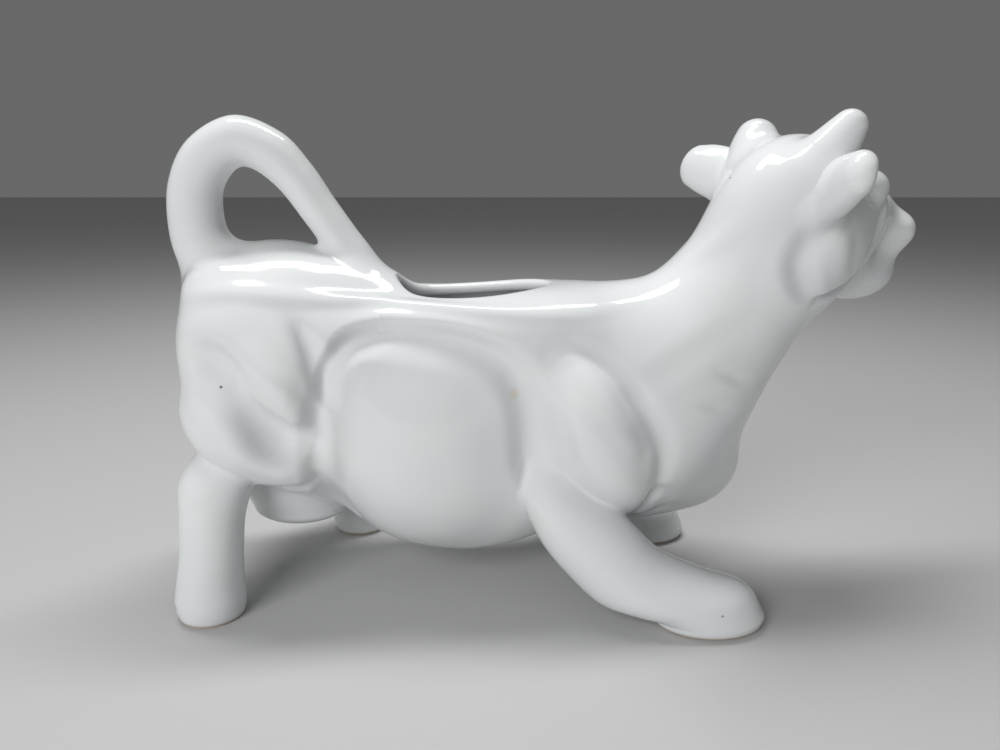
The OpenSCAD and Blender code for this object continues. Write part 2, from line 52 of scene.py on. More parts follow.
# Body shell: the hollow trunk and neck, porcelain slip cast in a two-part mould. The clay model
# was built of swelling masses run together with grooves pressed in by a round tool. The filling
# opening was cut in the back of the raw cast and its edge sponged round.
wall = 3.2
opening_length, opening_width, opening_middle = 42, 27, -22
# One drawn millimetre in metres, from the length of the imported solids.
drawn_length = 199.7
MM = (cad_box[1][0] - cad_box[0][0]) / drawn_length
# Each mass: middle, half lengths, tilt in degrees with the nose up, smoothing width (mm), power.
trunk_masses = {
    "barrel": ((-25, 0, 44), (43, 23.5, 36), 2, 1, 2),
    "croup": ((-68, 0, 69), (31, 23.5, 24), -23, 10, 2),
    "back": ((-30, 0, 64), (50, 22.6, 17.5), 5, 8, 3.3),
    "chest": ((18, 0, 49), (28, 23.5, 32), 22, 9, 2),
    "brisket": ((39, 0, 32), (12.6, 9, 10.8), 35, 8, 2),
    "neck_low": ((34, 0, 62), (22, 20, 29), -40, 12, 2),
    "neck_high": ((52, 0, 87), (18, 17, 22), -27, 12, 2),
    "tail_foot": ((-52, 0, 79), (15, 10, 9.5), -12, 6, 2),
}
side_masses = {
    "hollow": ((-60, 6, 48), (14, 17, 22), 0, 6, 2),
    "belly": ((-33.5, 5, 44), (25.5, 22, 30), 3, 4, 2.2),
    "thigh": ((-69, 11, 62), (12, 17, 18.5), 26, 5, 2),
    "rear_ham": ((-79, 12, 46), (19, 17, 11), -30, 5, 2),
    "gaskin": ((-67, 11, 41), (11, 15, 9), -12, 6, 2),
    "rump": ((-81, 11, 66), (15, 14, 20), 0, 7, 2),
    "pin_bone": ((-85, 11, 83), (8, 6.5, 6.5), 0, 5, 2),
    "shoulder": ((10, 12, 47), (13, 18, 24), 27, 5, 2),
}
head_masses = {
    "skull": ((0, 0, 0.5), (20.4, 17, 19.4), 0, 8, 2),
    "jaw": ((4, 0, -9.6), (19, 14, 13.6), 20, 8, 2),
    "muzzle": ((19.5, 0, -2.6), (16.2, 9.8, 9), 9, 8, 2),
    "lip": ((33.9, 0, -6.6), (7.6, 10.3, 6.4), 20, 4, 2),
    "chin": ((26, 0, -18.4), (10.9, 8.4, 6), 7, 8, 2),
}
face_masses = {
    "brow": ((17.8, 7.8, 5.7), (5.9, 5, 4.8), 0, 4, 2),
}
# Grooves of the tool in both flanks, mirrored. Each row: x and z in the side view, how far the
# groove runs out on its left and on its right seen along the line, and its depth. The depth of a
# ridge is less than zero.
trunk_grooves = {
    "belly_top": [(-56.5, 57, 2.5, 4, 0.6), (-57, 62, 3, 4.6, 1.6), (-55.5, 67.5, 3.6, 6, 2.8),
                  (-51.5, 72.4, 3.6, 8, 3.3), (-45, 74.8, 3.6, 10, 3.5), (-38, 75, 3.6, 10.5, 3.5),
                  (-28, 73.8, 3.8, 10.5, 3.4), (-19, 70.4, 4.6, 9.5, 3.1), (-13, 65.4, 7, 8, 2.7),
                  (-9.6, 58, 9, 7, 2.6), (-8.4, 49, 9.5, 6.5, 2.6), (-8, 40, 8, 6, 2.6),
                  (-6.8, 33, 5, 4, 1.2)],
    "belly_rear": [(-57, 61, 3, 5, 1), (-59, 55, 4, 6, 1.5), (-60, 47, 5, 6, 1.7),
                   (-60, 38, 5, 6, 1.8), (-58.5, 30, 5, 5, 1.5), (-54, 22, 4, 4, 0.8)],
    "flank": [(-64.5, 77, 3, 3, 0.3), (-62, 73.5, 4.4, 4.6, 1.7), (-60, 69, 5.4, 5, 2.2),
              (-58.8, 64, 4.6, 4.6, 1.6), (-58, 59, 2.5, 3, 0.3)],
    "s_groove": [(-91, 68, 4, 4, 0.4), (-87.5, 69.6, 6, 7.5, 2.2), (-83, 68.4, 7, 9, 3.6),
                 (-78.5, 64.6, 6, 8, 2.8), (-76, 58.6, 4.5, 5.5, 1.9), (-73, 53, 6, 8, 2.7),
                 (-69, 48.8, 7, 9.5, 3.8), (-64.5, 47.6, 6, 8.5, 2.8), (-61, 46.5, 4, 4, 1.2)],
    "thigh_ridge": [(-73, 69, 6, 6, -0.4), (-67, 62, 6, 6, -1.3), (-64, 54, 6, 6, -1)],
    "ham_ridge": [(-88, 57, 7, 6, -0.4), (-82, 52, 7, 6, -1.2), (-75, 45, 6, 6, -1.2),
                  (-68, 41, 5, 5, -0.6)],
    "ham_low": [(-93, 45, 4, 4, 1), (-86, 41, 4.5, 4.5, 2), (-79.5, 36.6, 4.5, 4, 2.2),
                (-73, 34.2, 4.5, 4, 2), (-66, 34, 4, 4, 1.6), (-61, 36, 3, 3, 0.6)],
    "shoulder_front": [(-3, 70, 4, 5, 0.3), (4, 70.5, 5, 4, 0.7), (12, 65, 6, 4, 0.9),
                       (19, 56.5, 6, 4, 1), (24.5, 47, 6, 4, 1), (25, 37, 5, 4, 1.1),
                       (22, 27, 4, 4, 0.8)],
    "shoulder_low": [(-6.5, 37, 4, 3, 1.4), (-1, 33, 4, 3, 2.2), (6, 29, 4, 3, 2.2),
                     (13, 25.4, 4, 3, 2), (19, 22.5, 3, 3, 1)],
    "shoulder_dip": [(-1.5, 58, 5, 5, 0.2), (0, 52, 6, 6, 0.7), (1.5, 45, 6, 6, 0.6),
                     (4, 40, 4, 4, 0.2)],
    "shoulder_ridge": [(3, 67, 4, 5, -0.2), (8, 62, 5, 6, -0.9), (13, 55, 5, 6, -1),
                       (17.5, 47, 5, 5, -0.5)],
    "elbow": [(-6, 35, 4, 4, -0.2), (-3.5, 31.5, 5, 5, -0.4)],
    "fold_high": [(48, 60, 2, 3, 0.1), (43, 62, 2.5, 3.5, 0.6), (38, 64, 2, 3, 0.2)],
    "fold_low": [(43, 53, 2, 3, 0.2), (38, 54.8, 2.5, 3.5, 0.5), (33, 56, 2, 3, 0.1)],
    "neck_line": [(14, 56, 6, 6, 0.1), (30, 67, 7, 7, 0.4), (44, 75, 6, 6, 0.2)],
    "neck_ridge": [(30, 88, 5, 5, -0.1), (38, 94, 5, 6, -0.5), (46, 100, 5, 6, -0.3)],
    "brisket_high": [(31, 29.5, 2, 2, 0.3), (26.5, 32.5, 2, 2.6, 1), (23, 29.5, 2, 2.6, 1.2),
                     (20.5, 24.5, 2, 2.4, 0.6)],
    "brisket_low": [(33, 24.5, 1.6, 2, 0.3), (27.5, 25.5, 1.8, 2.2, 0.9),
                    (22.5, 22.5, 1.8, 2.2, 0.8)],
    "back_edge": [(-92, 82, 4, 3, -0.2), (-80, 83.5, 5, 3.5, -0.7), (-66, 82.3, 5, 3.5, -0.8),
                  (-54, 81, 4.5, 3, -0.9), (-40, 80, 4, 2.6, -0.9), (-27, 79.2, 4, 2.6, -0.9),
                  (-13, 78.4, 4, 3, -0.8), (2, 78, 5, 4, -0.5), (18, 80, 5, 5, -0.2)],
}
# The face's grooves in the head's frame: ahead, left and up, then the two widths and the depth.
face_grooves = {
    "cheek_muzzle": [(22.5, 9.5, 5, 3, 3, 0.3), (20.5, 11.5, 0.5, 3.4, 3.4, 1.5),
                     (17.6, 12.8, -3.8, 3.8, 4, 1.8), (15, 13.3, -8, 4, 4, 1.5),
                     (12.5, 13.3, -12, 4, 4, 0.9), (10, 13, -15, 3, 3, 0.3)],
    "jaw": [(-4.5, 13, -20.5, 2, 2.6, 0.2), (-2, 13.2, -19.7, 2.2, 3.2, 1.3),
            (2, 13.4, -18.4, 2.2, 3.6, 1.8), (6.5, 13.2, -17, 2.2, 3.6, 1.5),
            (11, 12.6, -15, 2.4, 3.4, 0.8), (14, 12, -13, 2.4, 3, 0.2)],
    "eye": [(10, 14.3, 5, 2.8, 3, 0.3), (13, 13.4, 4.3, 3, 3.2, 1.2),
            (16, 12, 3.6, 2.6, 2.8, 0.3)],
    "jaw_rear": [(-5.5, 16.4, 2, 5, 5, 0.2), (-8, 15.8, -1.5, 6, 6, 1),
                 (-10.4, 14.8, -6, 7, 7, 1.9), (-11, 13.8, -11, 7, 7, 2.2),
                 (-8.6, 13.8, -16, 6, 6, 1.9), (-4.5, 13.4, -19.4, 4, 4, 0.8)],
    "cheek_ridge": [(-3, 17, -1, 5, 5, -0.2), (-1.5, 17, -6, 6, 6, -0.8),
                    (0, 16.2, -11, 6, 6, -0.6), (3, 14.6, -14.5, 4, 4, -0.2)],
}
# A gap that stands for no clay yet, and how far the head and the neck run together.
no_clay, throat_melt = 500.0, 8
skull_middle = np.array([59.3, -1.5, 100.5])
head_turn, nose_lift = np.radians(28), np.radians(3)
ahead = np.array([np.cos(head_turn) * np.cos(nose_lift), np.sin(head_turn) * np.cos(nose_lift),
                  np.sin(nose_lift)])
left = np.array([-np.sin(head_turn), np.cos(head_turn), 0.0])
crown = np.cross(ahead, left)
head_axes = np.stack([ahead, left, crown])


def fold(p):
    """The same place on the left side: y without its sign."""
    return np.concatenate([p[..., :1], np.abs(p[..., 1:2]), p[..., 2:]], -1)


def egg_gap(p, mass):
    """Signed gap to an egg: (k - 1) / slope of k, k the power mean of p measured in half lengths."""
    middle, half = np.array(mass[0], float), np.array(mass[1], float)
    tilt, power = np.radians(mass[2]), mass[4]
    q = p - middle
    c, s = np.cos(tilt), np.sin(tilt)
    turned = [q[..., 0] * c + q[..., 2] * s, q[..., 1], q[..., 2] * c - q[..., 0] * s]
    q = np.abs(np.stack(turned, -1)) / half
    if power == 2:
        k = np.sqrt((q * q).sum(-1)) + 1e-9
        return k * (k - 1) / (np.sqrt(((q / half) ** 2).sum(-1)) + 1e-9)
    k = (q ** power).sum(-1) ** (1 / power) + 1e-9
    return (k - 1) / np.sqrt((((q / k[..., None]) ** (power - 1) / half) ** 2).sum(-1))


def melt(a, b, width):
    """Two gaps run together: the smaller, less h squared times width / 4, h = 1 - |a - b| / width."""
    h = np.maximum(width - np.abs(a - b), 0) / width
    return np.minimum(a, b) - h * h * width / 4


def curve(table, s):
    """A smooth curve through the rows of a table (Catmull-Rom), s from 0 at the first to 1 at the end."""
    table = np.asarray(table, float)
    last = len(table) - 1
    t = np.clip(np.asarray(s) * last, 0, last - 1e-9)
    i = t.astype(int)
    t = (t - i)[..., None]
    table = np.concatenate([2 * table[:1] - table[1:2], table, 2 * table[-1:] - table[-2:-1]])
    a, b, c, d = table[i], table[i + 1], table[i + 2], table[i + 3]
    return b + t / 2 * (c - a + t * (2 * a - 5 * b + 4 * c - d + t * (3 * (b - c) + d - a)))


def clay_gap(p):
    """Signed gap to trunk, neck and head before any groove is pressed, negative inside."""
    side = fold(p)
    q = (p - skull_middle) @ head_axes.T
    face = fold(q)
    trunk = np.full(p.shape[:-1], no_clay)
    for mass in trunk_masses.values():
        trunk = melt(trunk, egg_gap(p, mass), mass[3])
    for mass in side_masses.values():
        trunk = melt(trunk, egg_gap(side, mass), mass[3])
    head = np.full(p.shape[:-1], no_clay)
    for mass in head_masses.values():
        head = melt(head, egg_gap(q, mass), mass[3])
    for mass in face_masses.values():
        head = melt(head, egg_gap(face, mass), mass[3])
    return melt(trunk, head, throat_melt)


def pressed(p, rows, outward):
    """Depth of a groove: depth (1 - (d / width) squared) cubed, d the distance to the tool's line.

    The width is the left or the right one by the side of the line that p lies on: the sign of
    offset . (line direction x outward)."""
    wide = rows[:, 3:5].max()
    out = np.zeros(p.shape[:-1])
    near = ((p > rows[:, :3].min(0) - wide) & (p < rows[:, :3].max(0) + wide)).all(-1)
    q = p[near]
    best, depth = np.full(len(q), wide ** 2), np.zeros(len(q))
    for a, b in zip(rows[:-1], rows[1:]):
        way = b[:3] - a[:3]
        off = q - a[:3]
        t = np.clip(off @ way / (way @ way), 0, 1)
        off = off - t[:, None] * way
        d2 = (off * off).sum(-1)
        row = a[3:] + t[:, None] * (b - a)[3:]
        on_left = off @ np.cross(way, outward) > 0
        share = d2 / np.where(on_left, row[:, 0], row[:, 1]) ** 2
        here = d2 < best
        depth = np.where(here, row[:, 2] * (1 - np.minimum(share, 1)) ** 3, depth)
        best = np.where(here, d2, best)
    out[near] = depth
    return out


def groove_depth(p):
    """Depth pressed into the hide at p by every groove of the flanks and the face, both mirrored."""
    side = fold(p)
    face = fold((p - skull_middle) @ head_axes.T)
    outward = np.array([0.0, 1, 0])
    depth = np.zeros(p.shape[:-1])
    for rows in tool_lines:
        depth = depth + pressed(side, rows, outward)
    for rows in face_lines:
        depth = depth + pressed(face, rows, outward)
    return depth


def hide_gap(p):
    """Signed gap to the outer skin: the clay's gap and the groove's depth at the clay nearest to p."""
    gap = clay_gap(p)
    return gap + groove_depth(p - gap[..., None] * slope(clay_gap, p))


def reach(gap, start, way, level=0.0, steps=18):
    """Distance along each ray to where gap = level: t grows by 0.92 of what is left, again and again."""
    t = np.zeros(np.broadcast_shapes(start.shape, way.shape)[:-1])
    for _ in range(steps):
        t = t + 0.92 * (level - gap(start + t[..., None] * way))
    return t


def unit(v):
    """Vectors of length one."""
    v = np.asarray(v, float)
    return v / np.linalg.norm(v, axis=-1, keepdims=True)


# Points of a dense tool line for each row of its table.
row_steps = 5


def tool_line(table):
    """A groove of the flank as a dense line laid on the clay, cast square to the mid plane."""
    rows = curve(table, np.linspace(0, 1, row_steps * len(table)))
    start = rows[:, :2] @ np.array([[1.0, 0, 0], [0, 0, 1]])
    y = reach(clay_gap, start, np.array([0.0, 1, 0]))
    return np.concatenate([rows[:, :1], y[:, None], rows[:, 1:]], 1)


def trunk_station(u):
    """Origin, axis and back direction at share u of the trunk line, a cubic Bezier curve."""
    u = np.asarray(u, float)[..., None]
    a, b, c, d = trunk_line
    place = (1 - u) ** 3 * a + 3 * u * (1 - u) ** 2 * b + 3 * u ** 2 * (1 - u) * c + u ** 3 * d
    axis = unit((1 - u) ** 2 * (b - a) + 2 * u * (1 - u) * (c - b) + u ** 2 * (d - c))
    up = np.array([0.0, 0, 1])
    return place, axis, unit(up - (axis @ up)[..., None] * axis)


def rays(axis, back, turn, spread=np.pi / 2):
    """Directions on a cone about axis: turn from the back direction, spread from the axis."""
    turn, spread = np.asarray(turn)[..., None], np.asarray(spread)[..., None]
    across = np.cross(back, axis)
    return np.sin(spread) * (np.cos(turn) * back + np.sin(turn) * across) + np.cos(spread) * axis


def back_share(x):
    """Share u of the trunk line whose back point lies at x, by halving 16 times."""
    low, high = np.zeros(len(x)), np.ones(len(x))
    for _ in range(16):
        middle = (low + high) / 2
        place, axis, back = trunk_station(middle)
        here = (place + reach(clay_gap, place, back)[:, None] * back)[:, 0]
        low, high = np.where(here < x, middle, low), np.where(here < x, high, middle)
    return middle


def rim_line(turn, inset):
    """The opening's edge, an ellipse drawn in by inset: share of the trunk line and half angle there."""
    u = back_share(opening_middle - np.cos(turn) * (opening_length / 2 - inset))
    place, axis, back = trunk_station(u)
    half = np.sin(turn) * (opening_width / 2 - inset)
    return u, np.arcsin(np.clip(half / reach(clay_gap, place, back), 0, 0.9))


def slope(gap, p, step=0.05):
    """Outward direction of a gap's level at p, from differences over a small step."""
    return unit(np.stack([gap(p + step * e) - gap(p - step * e) for e in np.eye(3)], -1))


def skin(start, way, level=0.0):
    """Points where rays meet a level of the clay, then pressed in square to it by the grooves."""
    p = start + reach(clay_gap, start, way, level)[..., None] * way
    return p - groove_depth(p)[..., None] * slope(clay_gap, p)


def mesh_piece(name, points, faces, material, nodes, normals=None):
    """A smooth mesh from points in mm and lists of faces, as the piece that stands for its CAD node."""
    points = np.asarray(points, float)
    corners = points[[[f[0], f[i], f[i + 1]] for f in faces for i in range(1, len(f) - 1)]]
    if np.einsum("ij,ij->", corners[:, 0], np.cross(corners[:, 1], corners[:, 2])) < 0:
        faces = [f[::-1] for f in faces]
    mesh = bpy.data.meshes.new(name)
    mesh.from_pydata((points * MM).tolist(), [], faces)
    mesh.polygons.foreach_set("use_smooth", np.ones(len(mesh.polygons), bool))
    mesh.materials.append(material)
    if normals is not None:
        mesh.normals_split_custom_set_from_vertices(normals.tolist())
    piece = bpy.data.objects.new(name, mesh)
    bpy.context.scene.collection.objects.link(piece)
    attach(piece, "root")
    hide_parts(*nodes)


def patch(numbers):
    """Faces of an open grid of point numbers."""
    corners = [numbers[:-1, :-1], numbers[:-1, 1:], numbers[1:, 1:], numbers[1:, :-1]]
    return np.stack(corners, -1).reshape(-1, 4)


def quads(rows, cols, start=0, flip=False):
    """Faces of a grid closed round its columns, whose point (i, j) is start + i cols + j."""
    i, j = np.meshgrid(np.arange(rows - 1), np.arange(cols), indexing="ij")
    k = (j + 1) % cols
    corners = np.stack([i * cols + j, i * cols + k, (i + 1) * cols + k, (i + 1) * cols + j], -1) + start
    corners = corners.reshape(-1, 4)
    return (corners[:, ::-1] if flip else corners).tolist()


def blend(tree, share, a, b):
    """Colour a to colour b by a share that another node gives; a may be a node's socket."""
    mix = tree.nodes.new("ShaderNodeMix")
    mix.data_type = "RGBA"
    tree.links.new(share, mix.inputs[0])
    if isinstance(a, tuple):
        mix.inputs[6].default_value = (*a, 1)
    else:
        tree.links.new(a, mix.inputs[6])
    mix.inputs[7].default_value = (*b, 1)
    return mix.outputs[2]


def ramp(tree, value, low, high, top=1.0, bottom=0.0):
    """A value mapped from bottom at low to top at high and held beyond both."""
    step = tree.nodes.new("ShaderNodeMapRange")
    tree.links.new(value, step.inputs["Value"])
    step.inputs["From Min"].default_value = low
    step.inputs["From Max"].default_value = high
    step.inputs["To Min"].default_value = bottom
    step.inputs["To Max"].default_value = top
    return step.outputs["Result"]


def noise(tree, place, size):
    """Soft noise whose lumps are about size mm wide."""
    cloud = tree.nodes.new("ShaderNodeTexNoise")
    tree.links.new(place, cloud.inputs["Vector"])
    cloud.inputs["Scale"].default_value = 1 / (size * MM)
    cloud.inputs["Detail"].default_value = 2
    return cloud.outputs[0]


# Marks left by the kiln: place on the hide, radius (mm), strength and colour.
kiln_marks = [((-81.8, -24.7, 61.5), 0.45, 0.9, (0.05, 0.045, 0.04)),
              ((39, -36.5, 7), 0.45, 0.9, (0.06, 0.05, 0.04)),
              ((41.8, -5.8, 109.8), 0.4, 0.9, (0.05, 0.045, 0.04)),
              ((-11.6, -20.9, 58.7), 1.6, 0.4, (0.72, 0.62, 0.4)),
              ((-4, 10, 79.5), 3, 0.7, (0.42, 0.31, 0.2))]
# Share of a mark's radius inside which it has its full strength.
mark_core = 0.4
# The glaze where it lies thin and where it pools, and the biscuit; then the size of the patches
# (mm) and the shares of the noise between which one colour goes over into the other.
thin_white, pooled_white, biscuit = (0.80, 0.815, 0.82), (0.765, 0.79, 0.80), (0.60, 0.54, 0.46)
pool_size, pool_edge = 24, (0.35, 0.65)
# Heights (mm) above which the glaze is whole and below which it is wiped off, and the roughness.
glazed_above, wiped_below = 1.1, 0.7
glaze_rough, biscuit_rough = 0.1, 0.7


def porcelain(name):
    """Glazed porcelain: glossy cool white that pools a little unevenly, bare where it stands."""
    material = bpy.data.materials.new(name)
    material.use_nodes = True
    tree = material.node_tree
    shader = tree.nodes["Principled BSDF"]
    place = tree.nodes.new("ShaderNodeTexCoord").outputs["Object"]
    pooled = ramp(tree, noise(tree, place, pool_size), *pool_edge)
    colour = blend(tree, pooled, thin_white, pooled_white)
    for middle, radius, strength, shade in kiln_marks:
        gap = tree.nodes.new("ShaderNodeVectorMath")
        gap.operation = "DISTANCE"
        tree.links.new(place, gap.inputs[0])
        gap.inputs[1].default_value = [MM * v for v in middle]
        mark = ramp(tree, gap.outputs["Value"], radius * MM, radius * mark_core * MM, strength)
        colour = blend(tree, mark, colour, shade)
    height = tree.nodes.new("ShaderNodeSeparateXYZ")
    tree.links.new(place, height.inputs[0])
    edge = (glazed_above * MM, wiped_below * MM)
    bare = ramp(tree, height.outputs["Z"], *edge)
    tree.links.new(blend(tree, bare, colour, biscuit), shader.inputs["Base Color"])
    rough = ramp(tree, height.outputs["Z"], *edge, biscuit_rough, glaze_rough)
    tree.links.new(rough, shader.inputs["Roughness"])
    return material


tool_lines = [tool_line(table) for table in trunk_grooves.values()]
face_lines = [curve(table, np.linspace(0, 1, row_steps * len(table)))
              for table in face_grooves.values()]
glaze = porcelain("glaze")
neck_top = np.array([53.5, 0, 88.3])
neck_dir = np.array([0.5, 0, np.sqrt(0.75)])
neck_back = np.array([-np.sqrt(0.75), 0, 0.5])
neck_pull = 40
trunk_line = np.array([[-66, 0, 60], [-26, 0, 51], neck_top - neck_pull * neck_dir, neck_top])
# Counts of the grid: columns round the trunk, stations and rings of the opening's edge.
columns = 192
rim_steps, rim_rings = 56, 8
rim_turns = np.pi * np.arange(rim_steps + 1) / rim_steps
rim_u, rim_half = rim_line(rim_turns, 0)
rim_half[[0, -1]] = 0
rump_rings, rump_rows, neck_rows = 26, 44, 76
station_u = np.concatenate([np.zeros(rump_rings), rim_u[0] * np.arange(rump_rows) / rump_rows, rim_u,
                            rim_u[-1] + (1 - rim_u[-1]) * np.arange(1, neck_rows + 1) / neck_rows])
spread = np.full(len(station_u), np.pi / 2)
spread[:rump_rings] = np.pi - np.pi / 2 * np.arange(1, rump_rings + 1) / (rump_rings + 1)
gape = np.zeros(len(station_u))
first_rim = rump_rings + rump_rows
last_rim = first_rim + rim_steps
gape[first_rim:last_rim + 1] = rim_half
turns = gape[:, None] + (2 * np.pi - 2 * gape[:, None]) * np.arange(columns + 1) / columns
place, axis, back = trunk_station(station_u)
way = rays(axis[:, None], back[:, None], turns, spread[:, None])
start = place[:, None]
outer = skin(start, way)
inner = skin(start, way, -wall)
ring_angle = np.pi * np.arange(1, rim_rings) / rim_rings
rim_points = []
for angle in ring_angle:
    u, half = rim_line(rim_turns, wall / 2 * np.sin(angle))
    half[[0, -1]] = 0
    place, axis, back = trunk_station(u)
    for side in (1, -1):
        way = rays(axis, back, side * half)
        rim_points.append(skin(place, way, -wall / 2 * (1 - np.cos(angle))))
rump_way = -trunk_station(np.zeros(1))[1]
poles = [skin(trunk_line[:1], rump_way, level)[0] for level in (0, -wall)]
rows, cols = len(station_u), columns + 1
number = np.arange(rows * cols).reshape(rows, cols)
open_row = np.zeros(rows, bool)
open_row[first_rim + 1:last_rim] = True
number[~open_row, -1] = number[~open_row, 0]
hide_faces = patch(number)
size = rows * cols
ring_shape = (rim_rings - 1, 2, rim_steps + 1)
ring_numbers = 2 * size + np.arange(np.prod(ring_shape)).reshape(ring_shape)
ring_numbers[:, 1, [0, -1]] = ring_numbers[:, 0, [0, -1]]
edge = np.stack([number[first_rim:last_rim + 1, 0], number[first_rim:last_rim + 1, -1]])
edge = np.concatenate([edge[None], ring_numbers, edge[None] + size])
right_rim, left_rim = edge[:, 0], edge[:, 1]
rim_faces = np.concatenate([patch(right_rim), patch(left_rim)[:, [0, 3, 2, 1]]])
pole = 2 * size + ring_numbers.size
caps = [[pole, number[0, j + 1], number[0, j]] for j in range(columns)]
caps += [[pole + 1, size + number[0, j], size + number[0, j + 1]] for j in range(columns)]
joint = [[number[-1, j], number[-1, j + 1], size + number[-1, j + 1], size + number[-1, j]]
         for j in range(columns)]
faces = hide_faces.tolist() + (hide_faces[:, ::-1] + size).tolist() + rim_faces.tolist()
faces += caps + joint
points = np.concatenate([outer.reshape(-1, 3), inner.reshape(-1, 3), *rim_points, poles])
normals = np.zeros_like(points)
joint_ring = slice(size - cols, size)
normals[joint_ring] = slope(hide_gap, points[joint_ring])
mesh_piece("body_shell_glazed", points, faces, glaze, ["body_shell"], normals)


# Head shell: cast apart, luted to the neck in a slanting plane, hollow, with the pouring mouth
# between its lips. Its stations turn about a hinge under the throat.
mouth_bore, lip_wall, lip_round = 9, 1.6, 0.6
mouth_drop = np.radians(13)
head_height = 40
# The hinge and the mouth's line, as shares of the head's height, and the hinge to the cow's left.
hinge_drop, mouth_reach, hinge_left = 0.585, 0.375, 5.46
throat_hinge = neck_top - hinge_drop * head_height * neck_back + np.array([0, hinge_left, 0])
mouth_dir = np.cos(mouth_drop) * ahead - np.sin(mouth_drop) * crown
mouth_back = np.cos(mouth_drop) * crown + np.sin(mouth_drop) * ahead
neck_arm = neck_top - throat_hinge
mouth_arm = mouth_reach * head_height * mouth_back
mouth_from = throat_hinge + mouth_arm
mouth_depth = reach(hide_gap, mouth_from[None], mouth_dir[None])[0]
mouth_spread = np.arctan(mouth_bore / 2 / mouth_depth)
neck_rings, face_rings, lip_rings = 60, 84, 4
w = np.concatenate([np.arange(neck_rings + 1) / neck_rings, np.ones(face_rings)])[:, None]
arm = unit((1 - w) * unit(neck_arm) + w * mouth_back)
far = (1 - w) * np.linalg.norm(neck_arm) + w * np.linalg.norm(mouth_arm)
toward = (1 - w) * neck_dir + w * mouth_dir
axis = unit(toward - (toward * arm).sum(-1, keepdims=True) * arm)
back = (1 - w) * neck_back + w * mouth_back
back = unit(back - (back * axis).sum(-1, keepdims=True) * axis)
spread = np.full(len(w), np.pi / 2)
spread[neck_rings + 1:] += (mouth_spread - np.pi / 2) * np.arange(1, face_rings + 1) / face_rings
place = throat_hinge + far * arm
turns = 2 * np.pi * np.arange(columns) / columns
start = place[:, None]
way = rays(axis[:, None], back[:, None], np.broadcast_to(turns, (len(w), columns)), spread[:, None])
to_skin = reach(clay_gap, start, way)
to_hollow = np.maximum(reach(clay_gap, start, way, -wall),
                       np.minimum(mouth_bore / 2 / np.sin(spread)[:, None], to_skin - lip_wall))
outer = skin(start, way)
inner = start + to_hollow[..., None] * way
rows = len(w)
size = rows * columns
edge_turns = np.arange(1, lip_rings + 1) / (lip_rings + 1)
lip_rows = [outer[-1] * (1 - s) + inner[-1] * s + lip_round * np.sin(np.pi * s) * mouth_dir
            for s in edge_turns]
points = np.concatenate([outer.reshape(-1, 3), inner.reshape(-1, 3), *lip_rows])
lip_number = np.concatenate([[size - columns + np.arange(columns)],
                             2 * size + np.arange(lip_rings * columns).reshape(lip_rings, columns),
                             [2 * size - columns + np.arange(columns)]])
after = np.roll(lip_number, -1, 1)
lip_faces = np.stack([lip_number[:-1], after[:-1], after[1:], lip_number[1:]], -1)
neck_faces = [[j, size + j, size + (j + 1) % columns, (j + 1) % columns] for j in range(columns)]
faces = quads(rows, columns) + quads(rows, columns, size, True)
faces += lip_faces.reshape(-1, 4).tolist() + neck_faces
normals = np.zeros_like(points)
normals[:columns] = slope(hide_gap, points[:columns])
mesh_piece("head_shell_glazed", points, faces, glaze, ["head_shell"], normals)


# Tail handle: a rolled strap of clay pulled thinner toward its front end, bent into a loop and
# luted to the rump and the back; thumbed-down fillets run out on the body at both ends.
# Each row: x, y, z and radius (mm) along the strap, from its rear root to its front root.
tail_rows = [(-82, 0, 66, 8.6), (-86, 0, 77.4, 8.6), (-90, 0, 87.7, 7.9), (-93, 0, 96.6, 7.1),
             (-92.6, 0, 106.9, 6.7), (-88.5, 0, 114.6, 6.5), (-81, 0, 118.7, 6.3),
             (-73, 0, 116, 5.8), (-66.8, 0, 109.8, 5.2), (-61.6, 0, 102.2, 4.9),
             (-56.6, 0, 94.8, 4.9), (-52, 0, 87.5, 5.4), (-49, 0, 78, 6.3), (-45, 0, 68, 6.3)]


def round_limb(table, across):
    """Rings square to a line of rows (x, y, z, radius): middle and two half axes, nine numbers a row."""
    table = np.asarray(table, float)
    along = unit(np.gradient(table[:, :3], axis=0))
    wide = unit(across - (along @ across)[:, None] * along)
    high = np.cross(along, wide)
    return np.concatenate([table[:, :3], high * table[:, 3:4], wide * table[:, -1:]], 1)


def ring_point(limb, s, turn, swell=0.0):
    """Point at share s and turn of a limb whose rings have grown by swell."""
    row = curve(limb, s)
    high, wide = row[..., 3:6], row[..., 6:]
    grown_high = high * (1 + swell / np.linalg.norm(high, axis=-1))[..., None]
    grown_wide = wide * (1 + swell / np.linalg.norm(wide, axis=-1))[..., None]
    return row[..., :3] + np.cos(turn)[..., None] * grown_high + np.sin(turn)[..., None] * grown_wide


def settle(point_at, level, near, far):
    """Share s from near toward far where a moving point first comes within level of the hide:
    looked for at 36 shares, then halved 14 times."""
    tries = np.linspace(near, far, 36).reshape(-1, *[1] * level.ndim)
    inside = hide_gap(point_at(tries)) < level
    first = np.maximum(np.where(inside.any(0), inside.argmax(0), len(tries) - 1), 1)
    clear, deep = tries.ravel()[first - 1], tries.ravel()[first]
    for _ in range(14):
        middle = (clear + deep) / 2
        under = hide_gap(point_at(middle)) < level
        clear, deep = np.where(under, clear, middle), np.where(under, middle, deep)
    return middle


# How deep (mm) the last row of a joint is tucked into the hide, and its end sunk under it.
tuck, sink = 0.02, 0.7


